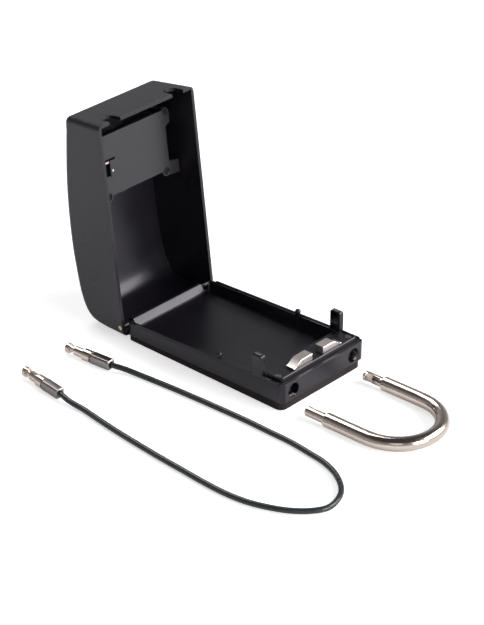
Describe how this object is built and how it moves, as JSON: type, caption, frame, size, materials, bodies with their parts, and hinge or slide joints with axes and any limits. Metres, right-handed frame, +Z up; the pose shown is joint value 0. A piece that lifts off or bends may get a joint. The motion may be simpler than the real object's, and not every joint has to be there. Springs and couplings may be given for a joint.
{
  "type": "portable key lock box",
  "caption": "Portable key lock box, open on its back, with a hinged combination lid, shackle bolts, and a loose U shackle and loop cable beside it.",
  "frame": {"origin": "on the back pad's underside, on the box's centre line, near the middle of its length", "axes": "+X from the hinge to the end where the shackle enters, +Y across the box, away from the cable, +Z up, away from the pad"},
  "size_m": [0.2895, 0.1771, 0.1493],
  "materials": {
    "black_coat": "satin black coat on die-cast zinc",
    "grey_coat": "satin dark grey coat",
    "rubber": "moulded, matt",
    "nickel": "bright nickel plate",
    "steel": "satin",
    "black_steel": "black oxide",
    "plastic": "moulded, fine matt",
    "cable_coat": "dark vinyl over steel rope"
  },
  "bodies": {
    "base": {"back_pad": "rubber", "base_tray": "black_coat", "cover_plate": "black_coat", "cover_screw_near": "black_steel", "cover_screw_far": "black_steel", "bolt_spring_near": "steel", "bolt_spring_far": "steel", "hinge_pin": "nickel"},
    "lid": {"lid_shell": "black_coat", "lock_plate": "grey_coat", "plate_screw_near_1": "black_steel", "plate_screw_far_1": "black_steel", "plate_screw_near_2": "black_steel", "plate_screw_far_2": "black_steel", "set_pin": "nickel", "lock_frame": "steel", "wheel_shaft": "steel", "detent_spring": "steel", "slider_spring": "steel", "lock_bezel": "black_coat"},
    "wheel_1": {"number_wheel_1": "plastic", "wheel_hub_1": "steel"},
    "wheel_2": {"number_wheel_2": "plastic", "wheel_hub_2": "steel"},
    "wheel_3": {"number_wheel_3": "plastic", "wheel_hub_3": "steel"},
    "wheel_4": {"number_wheel_4": "plastic", "wheel_hub_4": "steel"},
    "release": {"release_slider": "plastic"},
    "latch_near_bar": {"latch_near": "steel"},
    "latch_far_bar": {"latch_far": "steel"},
    "code_lever": {"change_lever": "nickel"},
    "bolt_near": {"shackle_bolt_near": "steel"},
    "bolt_far": {"shackle_bolt_far": "steel"},
    "shackle_loop": {"shackle": "nickel"},
    "cable_set": {"cable": "cable_coat", "cable_ferrule_upper": "steel", "cable_stud_upper": "nickel", "cable_ferrule_lower": "steel", "cable_stud_lower": "nickel"}
  },
  "joints": [
    {"name": "lid_hinge", "type": "hinge", "parent": "base", "child": "lid", "pos_m": [-0.0715, 0, 0.0094], "axis": [0, -1, 0], "range_deg": [-97.4, 0]},
    {"name": "wheel_1_turn", "type": "hinge", "parent": "lid", "child": "wheel_1", "pos_m": [-0.11271, -0.012, 0.10932], "axis": [0, 1, 0], "continuous": true},
    {"name": "wheel_2_turn", "type": "hinge", "parent": "lid", "child": "wheel_2", "pos_m": [-0.11271, -0.004, 0.10932], "axis": [0, 1, 0], "continuous": true},
    {"name": "wheel_3_turn", "type": "hinge", "parent": "lid", "child": "wheel_3", "pos_m": [-0.11271, 0.004, 0.10932], "axis": [0, 1, 0], "continuous": true},
    {"name": "wheel_4_turn", "type": "hinge", "parent": "lid", "child": "wheel_4", "pos_m": [-0.11271, 0.012, 0.10932], "axis": [0, 1, 0], "continuous": true},
    {"name": "release_slide", "type": "slide", "parent": "lid", "child": "release", "axis": [0.1288, 0, -0.9917], "range_m": [0, 0.004], "stiffness_N_per_m": 200, "springref_m": -0.004, "deforming": ["slider_spring"]},
    {"name": "latch_near_slide", "type": "slide", "parent": "lid", "child": "latch_near_bar", "axis": [0, 1, 0], "range_m": [0, 0.0024]},
    {"name": "latch_far_slide", "type": "slide", "parent": "lid", "child": "latch_far_bar", "axis": [0, -1, 0], "range_m": [0, 0.0024]},
    {"name": "code_lever_slide", "type": "slide", "parent": "lid", "child": "code_lever", "axis": [0.1288, 0, -0.9917], "range_m": [0, 0.007]},
    {"name": "bolt_near_slide", "type": "slide", "parent": "base", "child": "bolt_near", "axis": [0, 1, 0], "range_m": [0, 0.0032], "stiffness_N_per_m": 300, "springref_m": -0.003, "deforming": ["bolt_spring_near"]},
    {"name": "bolt_far_slide", "type": "slide", "parent": "base", "child": "bolt_far", "axis": [0, -1, 0], "range_m": [0, 0.0032], "stiffness_N_per_m": 300, "springref_m": -0.003, "deforming": ["bolt_spring_far"]},
    {"name": "shackle_lift", "type": "slide", "parent": "base", "child": "shackle_loop", "axis": [0, 0, 1], "range_m": [0, 0.05]},
    {"name": "cable_lift", "type": "slide", "parent": "base", "child": "cable_set", "axis": [0, 0, 1], "range_m": [0, 0.05]}
  ],
  "couplings": [
    {"joint": "latch_near_slide", "follows": "release_slide", "ratio": 0.6},
    {"joint": "latch_far_slide", "follows": "release_slide", "ratio": 0.6}
  ]
}
